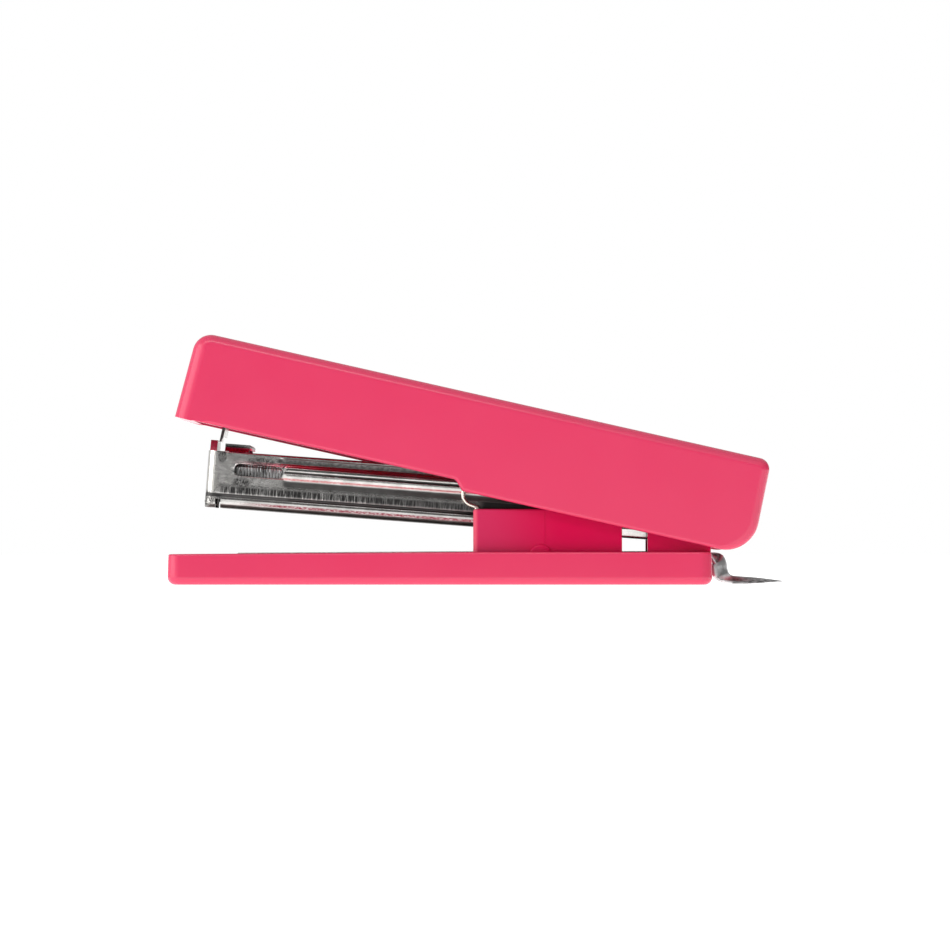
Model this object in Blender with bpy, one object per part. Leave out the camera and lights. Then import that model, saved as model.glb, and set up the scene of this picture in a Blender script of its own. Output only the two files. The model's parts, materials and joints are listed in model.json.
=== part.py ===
"""Pocket desk stapler for small staples, as separate pieces about one rear pivot pin.

Metres, +Z up.  -X is the stapling end, +X the pivot end, Y runs across the stapler.
The origin is the centre of the whole stapler's footprint, on the surface it stands on.
Sizes below are in millimetres.  The base is drawn about a zero close to the middle, and its
parent empty then moves it so that the whole stapler is centred.  The magazine and the handle
are drawn level about the pivot pin, and their parent empties tilt them to their rest angle.
"""
import math

import bmesh
import bpy
from mathutils import Vector

MM = 0.001
GAP = 0.3                       # running gap kept between neighbouring pieces

# Pivot and rest angles
PIVOT_X = 41.25
PIVOT_Z = 11.27
HANDLE_TILT = 12.70             # degrees
MAGAZINE_TILT = 4.25            # degrees

# Widths, as half widths measured from the middle plane
COVER_HALF = 11.5
COVER_INNER_HALF = 9.9
SADDLE_HALF = 9.4
SADDLE_INNER_HALF = 8.1
FRAME_HALF = 8.8
FRAME_INNER_HALF = 8.3
EAR_HALF = 6.4
EAR_INNER_HALF = 5.8
CHANNEL_HALF = 5.5
CHANNEL_INNER_HALF = 4.8

# Pin
PIN_RADIUS = 1.2
PIN_HOLE_RADIUS = PIN_RADIUS + GAP
PIN_HEAD_RADIUS = 1.9
PIN_SHOULDER = 9.1
PIN_HALF = 9.6
EAR_RADIUS = 3.0

# Rivets
RIVET_RADIUS = 0.8
RIVET_HOLE_RADIUS = RIVET_RADIUS + GAP
RIVET_HEAD = 0.4

# Base
TRAY_FRONT = -50.6
TRAY_REAR = 38.9
TRAY_CORNER = 2.2
TRAY_EDGE = 1.3
TRAY_WALL = 1.4
TRAY_FLOOR = 1.3
RIM_FRONT = 5.05
RIM_REAR = 5.41
RIM_LEVEL_FROM = -0.5
RIB_PLACES = (-34.0, -20.0, -6.0)
PLATE_THICKNESS = 0.8
PLATE_FRONT = -48.8
PLATE_STEP = -39.0
PLATE_TOP_FRONT = 4.2
PLATE_TOP_REAR = 5.55
PLATE_REAR = 37.1
PLATE_HALF = 9.3
SADDLE_FRONT = -0.3
SADDLE_REAR = 38.7
SADDLE_TOP = 12.5
SADDLE_FOOT = 1.6
SADDLE_STEP = 5.75
WINDOW_FRONT = 24.2
WINDOW_REAR = 28.4
WINDOW_TOP = 10.6
LEAF_RIVET_X = 18.5
LEAF_THICKNESS = 0.35
REMOVER_RIVET_X = 31.0
REMOVER_HALF = 3.5
REMOVER_KNEE = 42.9
REMOVER_TIP = 51.55
ANVIL_TOP = 5.0
ANVIL_FRONT = -48.6
ANVIL_REAR = -40.3
ANVIL_RIVET_X = -46.75
ANVIL_RIVET_Y = 5.6
ANVIL_POCKET_X = -43.25
MIDDLE_X = (TRAY_FRONT + REMOVER_TIP) / 2

# Magazine, about the pin
CHANNEL_FRONT = -86.05
CHANNEL_REAR = -4.0
CHANNEL_BOTTOM = -4.74
CHANNEL_TOP_FRONT = 4.42
CHANNEL_TOP_REAR = 4.8
CHANNEL_WALL = 0.7
CHANNEL_FLOOR = CHANNEL_BOTTOM + CHANNEL_WALL
TAB_HALF = 3.6
STRIP_FRONT = CHANNEL_FRONT + 2.6
STRIP_LENGTH = 26.0
STRIP_HALF = 4.3
CROWN_TOP = 2.6
CROWN_THICKNESS = 0.5
LEG_LENGTH = 5.0
WIRE_THICKNESS = 0.4
RAIL_TOP = 1.75
RAIL_HALF = 3.6
RAIL_THICKNESS = 0.6
RAIL_REAR = -25.0
PUSHER_FRONT = STRIP_FRONT + STRIP_LENGTH + 0.4
PUSHER_REAR = PUSHER_FRONT + 6.0
PUSHER_FOOT = -2.9
PUSHER_TOP = 4.1
ROD_RADIUS = 0.45
ROD_FOOT_X = -8.0
SPRING_Z = 3.1
SPRING_RADIUS = 0.95
SPRING_WIRE = 0.2
SPRING_TURNS = 15

# Handle, about the pin
COVER_TOP = 10.6
COVER_WALL = 1.6
COVER_REAR = 5.5
COVER_LIP = -3.9
COVER_SKIRT = -5.5
FRAME_TOP = 8.0
FRAME_THICKNESS = 0.6
FRAME_SHOULDER = -78.0
DRIVER_X = CHANNEL_FRONT + 1.9
DRIVER_TIP = -6.2
DRIVER_HALF = 4.3
DRIVER_RIVETS = (DRIVER_X + 3.2, DRIVER_X + 7.7)
DRIVER_RIVET_HOLE = RIVET_RADIUS + 0.25
RETURN_WIRE = 0.3
RETURN_COIL = 1.95
RETURN_LEG_Y = -7.55
RETURN_LAY = 0.63              # sideways reach of the coil's one turn


# ---------------------------------------------------------------- small geometry helpers

def arc(x, z, radius, start, end, steps):
    """Points on an arc about (x, z), angles in degrees."""
    points = []
    for step in range(steps + 1):
        angle = math.radians(start + (end - start) * step / steps)
        points.append((x + radius * math.cos(angle), z + radius * math.sin(angle)))
    return points


def circle(x, z, radius, sides=24):
    return arc(x, z, radius, 0, 360 - 360 / sides, sides - 1)


def filleted(corners, steps=4):
    """An outline from (x, z, radius) corners, each rounded where its radius isn't 0."""
    points = []
    for index, (x, z, radius) in enumerate(corners):
        if radius == 0:
            points.append((x, z))
            continue
        before = corners[index - 1]
        after = corners[(index + 1) % len(corners)]
        towards = []
        for other in (before, after):
            length = math.hypot(other[0] - x, other[1] - z)
            towards.append(((other[0] - x) / length, (other[1] - z) / length))
        (ax, az), (bx, bz) = towards
        half = math.acos(max(-1.0, min(1.0, ax * bx + az * bz))) / 2
        reach = radius / math.tan(half)
        middle = math.hypot(ax + bx, az + bz)
        centre_x = x + (ax + bx) / middle * radius / math.sin(half)
        centre_z = z + (az + bz) / middle * radius / math.sin(half)
        first = math.atan2(z + az * reach - centre_z, x + ax * reach - centre_x)
        last = math.atan2(z + bz * reach - centre_z, x + bx * reach - centre_x)
        turn = (last - first + math.pi) % (2 * math.pi) - math.pi
        for step in range(steps + 1):
            angle = first + turn * step / steps
            points.append((centre_x + radius * math.cos(angle), centre_z + radius * math.sin(angle)))
    return points


def prism(outline, low, high, axis="Y"):
    """A closed solid: the outline, swept from low to high along an axis."""
    point_from = {
        "X": lambda a, b, c: (c, a, b),
        "Y": lambda a, b, c: (a, c, b),
        "Z": lambda a, b, c: (a, b, c),
    }[axis]
    shape = bmesh.new()
    rings = []
    for depth in (low, high):
        rings.append([shape.verts.new(point_from(a, b, depth)) for a, b in outline])
    shape.faces.new(rings[0])
    shape.faces.new(rings[1])
    count = len(outline)
    for index in range(count):
        after = (index + 1) % count
        shape.faces.new((rings[0][index], rings[0][after], rings[1][after], rings[1][index]))
    return shape


def block(x, y, z):
    return prism([(x[0], z[0]), (x[1], z[0]), (x[1], z[1]), (x[0], z[1])], y[0], y[1])


def loft(rings):
    """A closed solid through rings of equally many points, with its two ends filled."""
    shape = bmesh.new()
    made = [[shape.verts.new(point) for point in ring] for ring in rings]
    for lower, upper in zip(made, made[1:]):
        for index in range(len(lower)):
            after = (index + 1) % len(lower)
            shape.faces.new((lower[index], lower[after], upper[after], upper[index]))
    shape.faces.new(made[0])
    shape.faces.new(made[-1])
    return shape


def swept_wire(path, radius, sides=6):
    """Round wire along a path of (x, y, z) points."""
    points = [Vector(point) for point in path]
    side = Vector((0, 1, 0))
    rings = []
    for index, point in enumerate(points):
        ahead = points[min(index + 1, len(points) - 1)] - points[max(index - 1, 0)]
        ahead.normalize()
        side = side - ahead * side.dot(ahead)
        side.normalize()
        other = ahead.cross(side)
        ring = []
        for step in range(sides):
            angle = 2 * math.pi * step / sides
            ring.append(point + (side * math.cos(angle) + other * math.sin(angle)) * radius)
        rings.append(ring)
    return loft(rings)


def about_pin(x, z, tilt):
    """A world point, in the level frame about the pin that an empty of this tilt carries."""
    angle = math.radians(tilt)
    across = x - PIVOT_X
    up = z - PIVOT_Z
    return (across * math.cos(angle) - up * math.sin(angle), across * math.sin(angle) + up * math.cos(angle))


# ---------------------------------------------------------------- objects

def clear_scene():
    for existing in list(bpy.data.objects):
        bpy.data.objects.remove(existing, do_unlink=True)


def tilted_empty(name, tilt):
    empty = bpy.data.objects.new(name, None)
    bpy.context.collection.objects.link(empty)
    empty.location = ((PIVOT_X - MIDDLE_X) * MM, 0, PIVOT_Z * MM)
    empty.rotation_euler = (0, math.radians(tilt), 0)
    return empty


def finish(name, colour, roughness, metallic=0.0):
    material = bpy.data.materials.new(name)
    material.use_nodes = True
    shader = material.node_tree.nodes["Principled BSDF"]
    shader.inputs["Base Color"].default_value = (*colour, 1.0)
    shader.inputs["Roughness"].default_value = roughness
    shader.inputs["Metallic"].default_value = metallic
    return material


def place(name, shape, parent, looks=None, smooth=False):
    """Turn a shape drawn in millimetres into a named object under its parent."""
    bmesh.ops.recalc_face_normals(shape, faces=shape.faces)
    bmesh.ops.scale(shape, vec=(MM, MM, MM), verts=shape.verts)
    mesh = bpy.data.meshes.new(name)
    shape.to_mesh(mesh)
    shape.free()
    if smooth:
        mesh.shade_smooth()
        mesh.set_sharp_from_angle(angle=math.radians(35))
    piece = bpy.data.objects.new(name, mesh)
    bpy.context.collection.objects.link(piece)
    piece.parent = parent
    if looks:
        colour, roughness, metallic = looks
        mesh.materials.append(finish(name, colour, roughness, metallic))
    return piece


def combine(piece, shape, operation):
    """Join a shape to a piece or cut it out, with a live Boolean and a hidden helper."""
    helper = place(f"{piece.name}_{operation.lower()}_{len(piece.modifiers)}", shape, piece.parent)
    helper.hide_render = True
    helper.display_type = "WIRE"
    modifier = piece.modifiers.new(helper.name, "BOOLEAN")
    modifier.operation = operation
    modifier.solver = "EXACT"
    modifier.object = helper


def cut(piece, shape):
    combine(piece, shape, "DIFFERENCE")


def join(piece, shape):
    combine(piece, shape, "UNION")


def rivet(x, y, low, high, head, head_height=RIVET_HEAD):
    """A rivet standing along Z: a turned profile with a head at each end."""
    profile = [(head, low), (head, low + head_height), (RIVET_RADIUS, low + head_height),
               (RIVET_RADIUS, high - head_height), (head, high - head_height), (head, high)]
    rings = []
    for reach, z in profile:
        rings.append([(x + px, y + py, z) for px, py in circle(0, 0, reach, 16)])
    return loft(rings)


PINK = ((0.84, 0.065, 0.155), 0.3, 0.0)
DEEP_PINK = ((0.70, 0.035, 0.11), 0.32, 0.0)
NICKEL = ((0.62, 0.60, 0.58), 0.22, 1.0)
STEEL = ((0.50, 0.49, 0.48), 0.3, 1.0)
DARK_STEEL = ((0.26, 0.25, 0.25), 0.35, 1.0)


# ---------------------------------------------------------------- base

def rim_height(x):
    """The tray's rim rises slightly from the front as far as the saddle, then runs level."""
    share = (x - TRAY_FRONT) / (RIM_LEVEL_FROM - TRAY_FRONT)
    return RIM_FRONT + (RIM_REAR - RIM_FRONT) * min(1.0, max(0.0, share))


def tray_ring(inset, height):
    corner = max(0.5, TRAY_CORNER - inset)
    low_x = TRAY_FRONT + inset
    high_x = TRAY_REAR - inset
    half = COVER_HALF - inset
    outline = filleted([(low_x, -half, corner), (RIM_LEVEL_FROM, -half, 0), (high_x, -half, corner),
                        (high_x, half, corner), (RIM_LEVEL_FROM, half, 0), (low_x, half, corner)])
    ring = []
    for x, y in outline:
        ring.append((x, y, height(x)))
    return ring


def build_base_tray(parent):
    rings = []
    for angle in (0, 30, 60, 90):
        inset = TRAY_EDGE * (1 - math.sin(math.radians(angle)))
        level = TRAY_EDGE * (1 - math.cos(math.radians(angle)))
        rings.append(tray_ring(inset, lambda x, level=level: level))
    rings.append(tray_ring(0.1, lambda x: rim_height(x) - 0.3))
    rings.append(tray_ring(0.35, rim_height))
    rings.append(tray_ring(TRAY_WALL, rim_height))
    rings.append(tray_ring(TRAY_WALL + 0.1, lambda x: TRAY_FLOOR))
    tray = place("base_tray", loft(rings), parent, PINK)
    for x in RIB_PLACES:
        join(tray, block((x - 0.6, x + 0.6), (-9.0, 9.0), (TRAY_FLOOR - 0.5, 4.0)))
    cut(tray, block((TRAY_REAR - 2.5, TRAY_REAR + 1.0), (-3.9, 3.9), (4.35, 7.0)))


def build_base_plate(parent):
    upper = [(PLATE_FRONT, PLATE_TOP_FRONT), (PLATE_STEP - 1.0, PLATE_TOP_FRONT),
             (PLATE_STEP, rim_height(PLATE_STEP) + 0.15), (RIM_LEVEL_FROM, PLATE_TOP_REAR),
             (PLATE_REAR, PLATE_TOP_REAR)]
    lower = [(x, z - PLATE_THICKNESS) for x, z in reversed(upper)]
    plate = place("base_plate", prism(upper + lower, -PLATE_HALF, PLATE_HALF), parent, NICKEL)
    for side in (-1, 1):
        cut(plate, block((-1.2, 45.0), sorted((side * EAR_HALF, side * 12.0)), (3.0, 8.0)))
    foot = PLATE_TOP_REAR - 0.5
    ear = [(31.0, foot), (PLATE_REAR, foot), (PLATE_REAR, 5.8), (38.3, 5.8)]
    ear += arc(PIVOT_X, PIVOT_Z, EAR_RADIUS, -135, 100, 12)
    ear += [(35.0, 12.4)]
    for low, high in ((-EAR_HALF, -EAR_INNER_HALF), (EAR_INNER_HALF, EAR_HALF)):
        join(plate, prism(ear, low, high))
    cut(plate, prism(circle(PIVOT_X, PIVOT_Z, PIN_HOLE_RADIUS), -8.0, 8.0))
    cut(plate, block((33.0, 45.0), (-4.3, 4.3), (3.0, 7.0)))
    holes = [(ANVIL_RIVET_X, -ANVIL_RIVET_Y), (ANVIL_RIVET_X, ANVIL_RIVET_Y), (LEAF_RIVET_X, 0.0),
             (REMOVER_RIVET_X, 0.0)]
    for x, y in holes:
        cut(plate, prism(circle(x, y, RIVET_HOLE_RADIUS, 16), 2.5, 7.5, "Z"))


def build_anvil(parent):
    """The plate whose two pockets fold the staple's legs, right under the driver."""
    outline = filleted([(ANVIL_FRONT, -7.4, 1.0), (ANVIL_REAR, -7.4, 1.0), (ANVIL_REAR, 7.4, 1.0),
                        (ANVIL_FRONT, 7.4, 1.0)])
    anvil = place("anvil", prism(outline, ANVIL_TOP - 0.5, ANVIL_TOP, "Z"), parent, NICKEL)
    pocket = (ANVIL_POCKET_X - 0.7, ANVIL_POCKET_X + 0.7)
    for side in (-1, 1):
        cut(anvil, block(pocket, sorted((side * 0.6, side * 4.7)), (ANVIL_TOP - 0.3, ANVIL_TOP + 1.0)))
        hole = circle(ANVIL_RIVET_X, side * ANVIL_RIVET_Y, RIVET_HOLE_RADIUS, 16)
        cut(anvil, prism(hole, 3.0, 7.0, "Z"))
    for side, word in ((-1, "near"), (1, "far")):
        shank = rivet(ANVIL_RIVET_X, side * ANVIL_RIVET_Y, 2.6, ANVIL_TOP, 0.95, 0.35)
        place(f"anvil_rivet_{word}", shank, parent, STEEL, smooth=True)


def build_saddle(parent):
    outline = [(SADDLE_FRONT, SADDLE_FOOT), (37.0, SADDLE_FOOT), (37.0, SADDLE_STEP),
               (SADDLE_REAR, SADDLE_STEP), (SADDLE_REAR, SADDLE_TOP), (SADDLE_FRONT, SADDLE_TOP)]
    saddle = place("pivot_saddle", prism(outline, -SADDLE_HALF, SADDLE_HALF), parent, DEEP_PINK)
    cut(saddle, block((-5.0, 45.0), (-SADDLE_INNER_HALF, SADDLE_INNER_HALF), (SADDLE_FOOT + 1.0, 20.0)))
    cut(saddle, block((WINDOW_FRONT, WINDOW_REAR), (-12.0, 12.0), (SADDLE_STEP, WINDOW_TOP)))


def build_pin(parent):
    profile = [(PIN_HEAD_RADIUS, -PIN_HALF), (PIN_HEAD_RADIUS, -PIN_SHOULDER),
               (PIN_RADIUS, -PIN_SHOULDER), (PIN_RADIUS, PIN_SHOULDER),
               (PIN_HEAD_RADIUS, PIN_SHOULDER), (PIN_HEAD_RADIUS, PIN_HALF)]
    rings = []
    for radius, y in profile:
        rings.append([(x, y, z) for x, z in circle(PIVOT_X, PIVOT_Z, radius, 24)])
    place("pivot_pin", loft(rings), parent, STEEL, smooth=True)


def build_lift_spring(parent):
    """The leaf that lifts the magazine off the base, riveted at its rear end."""
    foot = PLATE_TOP_REAR + 0.25 + LEAF_THICKNESS
    upper = [(LEAF_RIVET_X + 2.8, foot), (LEAF_RIVET_X - 3.0, foot), (8.5, 7.6), (3.6, 8.85), (1.6, 8.6)]
    lower = [(x, z - LEAF_THICKNESS) for x, z in reversed(upper)]
    leaf = place("lift_spring", prism(upper + lower, -2.6, 2.6), parent, STEEL)
    cut(leaf, prism(circle(LEAF_RIVET_X, 0.0, RIVET_HOLE_RADIUS, 16), 4.0, 8.0, "Z"))
    shank = rivet(LEAF_RIVET_X, 0.0, 3.9, 6.85, 1.5)
    place("lift_spring_rivet", shank, parent, STEEL, smooth=True)


def build_remover(parent):
    """The claw that lifts used staples, joggled under the plate and riveted to it."""
    upper = [(28.4, 4.4), (33.3, 4.4), (34.6, 5.3), (40.2, 5.3), (41.3, 4.8), (42.0, 3.6),
             (42.4, 1.9), (REMOVER_KNEE, 1.4), (REMOVER_TIP, 0.66)]
    lower = [(REMOVER_TIP, 0.5), (42.2, 0.12), (41.3, 0.6), (40.6, 2.4), (40.35, 3.8), (39.9, 4.45),
             (39.3, 4.7), (34.9, 4.7), (33.6, 3.8), (28.4, 3.8)]
    shape = prism(upper + lower, -REMOVER_HALF, REMOVER_HALF)
    for vert in shape.verts:
        past_knee = max(0.0, vert.co.x - REMOVER_KNEE) / (REMOVER_TIP - REMOVER_KNEE)
        vert.co.y *= 1.0 - 0.4 * past_knee
    remover = place("staple_remover", shape, parent, NICKEL)
    cut(remover, prism(circle(REMOVER_RIVET_X, 0.0, RIVET_HOLE_RADIUS, 16), 3.0, 5.0, "Z"))
    shank = rivet(REMOVER_RIVET_X, 0.0, 3.05, 6.25, 1.4)
    place("remover_rivet", shank, parent, STEEL, smooth=True)


# ---------------------------------------------------------------- magazine

def build_channel(parent):
    outline = [(CHANNEL_FRONT, CHANNEL_BOTTOM), (CHANNEL_REAR, CHANNEL_BOTTOM)]
    outline += arc(0, 0, EAR_RADIUS, -125, 100, 12)
    outline += [(-6.0, CHANNEL_TOP_REAR), (CHANNEL_FRONT, CHANNEL_TOP_FRONT)]
    channel = place("magazine_channel", prism(outline, -CHANNEL_HALF, CHANNEL_HALF), parent, NICKEL)
    join(channel, block((CHANNEL_FRONT + 0.2, CHANNEL_FRONT + 1.35), (-TAB_HALF, TAB_HALF), (3.6, 6.25)))
    inside = (-CHANNEL_INNER_HALF, CHANNEL_INNER_HALF)
    whole = (-8.0, 8.0)
    through_floor = (-6.0, CHANNEL_FLOOR + 0.5)
    cut(channel, block((CHANNEL_FRONT + CHANNEL_WALL, 6.0), inside, (CHANNEL_FLOOR, 4.1)))
    cut(channel, block((CHANNEL_FRONT + 1.4, 6.0), inside, (4.0, 9.0)))
    driver_slot = ((CHANNEL_FRONT + 1.0, CHANNEL_FRONT + 2.6), (-4.6, 4.6), through_floor)
    open_rear = ((CHANNEL_REAR - 0.6, 6.0), inside, through_floor)
    rivet_slot = ((-25.4, -19.8), (-2.2, 2.2), through_floor)
    staple_window = ((CHANNEL_FRONT + 4.5, CHANNEL_FRONT + 12.2), whole, (0.6, 2.6))
    front_notch = ((CHANNEL_FRONT + 1.95, CHANNEL_FRONT + 2.65), whole, (-6.0, -3.15))
    for opening in (driver_slot, open_rear, rivet_slot, staple_window, front_notch):
        cut(channel, block(*opening))
    cut(channel, prism(circle(0, 0, PIN_HOLE_RADIUS), *whole))


def straddling(half, thickness, foot, top, top_thickness):
    """A section like an upside-down U, as (y, z) points."""
    inner = half - thickness
    ceiling = top - top_thickness
    return [(-half, foot), (-inner, foot), (-inner, ceiling), (inner, ceiling),
            (inner, foot), (half, foot), (half, top), (-half, top)]


def build_rail(parent):
    section = straddling(RAIL_HALF, RAIL_THICKNESS, CHANNEL_FLOOR + GAP, RAIL_TOP, RAIL_THICKNESS)
    place("staple_rail", prism(section, STRIP_FRONT + 0.1, RAIL_REAR, "X"), parent, STEEL)


def build_strip(parent):
    section = straddling(STRIP_HALF, WIRE_THICKNESS, CROWN_TOP - LEG_LENGTH, CROWN_TOP, CROWN_THICKNESS)
    place("staple_strip", prism(section, STRIP_FRONT, STRIP_FRONT + STRIP_LENGTH, "X"), parent, NICKEL)


def build_hold_down(parent):
    """The bridge over the front of the channel that keeps the staples down on the rail."""
    across = block((CHANNEL_FRONT + 2.8, CHANNEL_FRONT + 6.6), (-CHANNEL_HALF, CHANNEL_HALF), (4.75, 5.35))
    plate = place("staple_hold_down", across, parent, NICKEL)
    tongue = block((CHANNEL_FRONT + 5.0, CHANNEL_FRONT + 6.2), (-2.2, 2.2), (CROWN_TOP + GAP, 5.0))
    join(plate, tongue)


def build_spring_rod(parent):
    rod = prism(circle(0, SPRING_Z, ROD_RADIUS, 12), PUSHER_FRONT + 0.2, ROD_FOOT_X + 0.5, "X")
    piece = place("spring_rod", rod, parent, STEEL)
    join(piece, block((ROD_FOOT_X - 0.4, ROD_FOOT_X + 0.4), (-4.5, 4.5), (-3.7, 4.4)))


def build_pusher_spring(parent):
    front = PUSHER_REAR + 0.6
    rear = ROD_FOOT_X - 1.0
    per_turn = 10
    steps = SPRING_TURNS * per_turn
    path = []
    for step in range(steps + 1):
        angle = 2 * math.pi * step / per_turn
        x = front + (rear - front) * step / steps
        path.append((x, SPRING_RADIUS * math.cos(angle), SPRING_Z + SPRING_RADIUS * math.sin(angle)))
    place("pusher_spring", swept_wire(path, SPRING_WIRE, 5), parent, STEEL, smooth=True)


def build_pusher(parent):
    """The shoe behind the staples: it straddles the rail and slides on the rod."""
    ceiling = RAIL_TOP + 0.35
    section = straddling(STRIP_HALF, WIRE_THICKNESS, PUSHER_FOOT, PUSHER_TOP, PUSHER_TOP - ceiling)
    pusher = place("pusher", prism(section, PUSHER_FRONT, PUSHER_REAR, "X"), parent, DARK_STEEL)
    hole = circle(0, SPRING_Z, ROD_RADIUS + GAP, 12)
    cut(pusher, prism(hole, PUSHER_FRONT - 1.0, PUSHER_REAR + 1.0, "X"))


# ---------------------------------------------------------------- handle

def build_cover(parent):
    corners = filleted([(-92.1, COVER_LIP, 0), (-91.5, COVER_TOP, 3.1), (5.3, COVER_TOP, 1.65),
                        (COVER_REAR, 0.0, 0)], 5)
    outline = corners + arc(0, 0, COVER_REAR, 0, -90, 8)[1:]
    outline += filleted([(0.0, -COVER_REAR, 0), (-43.2, COVER_SKIRT, 0.6), (-44.7, COVER_LIP, 1.0),
                         (-92.1, COVER_LIP, 0)], 4)[1:-1]
    shape = prism(outline, -COVER_HALF, COVER_HALF)
    rounded = []
    for edge in shape.edges:
        first, second = edge.verts
        along_outline = abs(first.co.y - second.co.y) < 0.01
        top_side = min(first.co.z, second.co.z) > COVER_LIP - 0.01 and max(first.co.z, second.co.z) > 0.0
        if along_outline and top_side:
            rounded.append(edge)
    bmesh.ops.bevel(shape, geom=rounded, offset=1.3, segments=3, profile=0.5, affect="EDGES",
                    clamp_overlap=True)
    cover = place("handle_cover", shape, parent, PINK)
    ceiling = COVER_TOP - COVER_WALL
    rear = COVER_REAR - COVER_WALL - 0.25
    wall_end = -1.9
    cavity = [(-90.1, -14.0), (-89.6, ceiling), (rear, ceiling), (rear, wall_end), (9.0, wall_end),
              (9.0, -14.0)]
    cut(cover, prism(cavity, -COVER_INNER_HALF, COVER_INNER_HALF))


def build_frame(parent):
    """The inverted steel channel inside the cover that carries the pin and the driver."""
    side = [(FRAME_SHOULDER, FRAME_TOP), (FRAME_SHOULDER, 6.2), (-60.0, 4.0), (-30.0, 1.9), (-2.0, 1.7)]
    side += arc(0, 0, 2.0, 180, 360, 10)
    side += [(2.9, 3.0), (2.9, FRAME_TOP)]
    frame = place("handle_frame", prism(side, -FRAME_HALF, FRAME_HALF), parent, NICKEL)
    ceiling = FRAME_TOP - FRAME_THICKNESS
    cut(frame, block((-95.0, 10.0), (-FRAME_INNER_HALF, FRAME_INNER_HALF), (-8.0, ceiling)))
    join(frame, block((DRIVER_X - 0.8, FRAME_SHOULDER + 1.0), (-4.6, 4.6), (ceiling, FRAME_TOP)))
    cut(frame, prism(circle(0, 0, PIN_HOLE_RADIUS), -12.0, 12.0))
    for x in DRIVER_RIVETS:
        cut(frame, prism(circle(x, 0.0, DRIVER_RIVET_HOLE, 16), 5.0, 12.0, "Z"))


def build_driver(parent):
    """The blade that drives a staple, with a flange riveted under the frame."""
    front = DRIVER_X - 0.25
    back = DRIVER_X + 0.25
    flange_rear = DRIVER_X + 9.5
    top = FRAME_TOP - FRAME_THICKNESS - GAP
    section = filleted([(front, DRIVER_TIP, 0), (back, DRIVER_TIP, 0), (back, top - 0.5, 0.3),
                        (flange_rear, top - 0.5, 0), (flange_rear, top, 0), (front, top, 0.8)])
    driver = place("driver_blade", prism(section, -DRIVER_HALF, DRIVER_HALF), parent, NICKEL)
    for x, word in zip(DRIVER_RIVETS, ("front", "rear")):
        cut(driver, prism(circle(x, 0.0, DRIVER_RIVET_HOLE, 16), 5.0, 9.0, "Z"))
        place(f"driver_rivet_{word}", rivet(x, 0.0, 5.95, 8.7, 1.4), parent, STEEL, smooth=True)


def build_return_spring(parent):
    """The torsion wire that raises the handle: a coil on the pin, one leg hooked into the
    handle and one resting on the base plate."""
    hook = [(-46.5, 4.6), (-45.7, 1.0), (-44.7, -2.4), (-43.45, -5.2), (-42.83, -6.24), (-42.0, -7.1),
            (-41.0, -7.5), (-39.9, -7.5)]
    path = [(x, RETURN_LEG_Y, z) for x, z in hook]
    leg_x, leg_z = hook[-1]
    for x in (-30.0, -20.0, -10.0, -4.0):
        path.append((x, RETURN_LEG_Y, leg_z + (RETURN_COIL + leg_z) * (x - leg_x) / leg_x))
    steps = 12
    for step in range(steps + 1):
        angle = math.radians(-100 + 360 * step / steps)
        y = RETURN_LEG_Y + RETURN_LAY * step / steps
        path.append((RETURN_COIL * math.cos(angle), y, RETURN_COIL * math.sin(angle)))
    foot_x, foot_z = about_pin(29.8, PLATE_TOP_REAR + 0.65, HANDLE_TILT)
    foot_y = RETURN_LEG_Y + RETURN_LAY
    path += [(-3.6, foot_y, -3.6), (foot_x + 1.2, foot_y, foot_z + 0.6), (foot_x, foot_y + 0.87, foot_z)]
    place("return_spring", swept_wire(path, RETURN_WIRE), parent, STEEL, smooth=True)


def build_stapler():
    clear_scene()
    base = bpy.data.objects.new("base_origin", None)
    bpy.context.collection.objects.link(base)
    base.location = (-MIDDLE_X * MM, 0, 0)
    build_base_tray(base)
    build_base_plate(base)
    build_anvil(base)
    build_saddle(base)
    build_pin(base)
    build_lift_spring(base)
    build_remover(base)
    magazine = tilted_empty("magazine_pivot", MAGAZINE_TILT)
    build_channel(magazine)
    build_rail(magazine)
    build_strip(magazine)
    build_hold_down(magazine)
    build_spring_rod(magazine)
    build_pusher_spring(magazine)
    build_pusher(magazine)
    handle = tilted_empty("handle_pivot", HANDLE_TILT)
    build_cover(handle)
    build_frame(handle)
    build_driver(handle)
    build_return_spring(handle)


build_stapler()
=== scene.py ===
import json
import math

import bmesh
import bpy
from mathutils import Matrix, Vector


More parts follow.
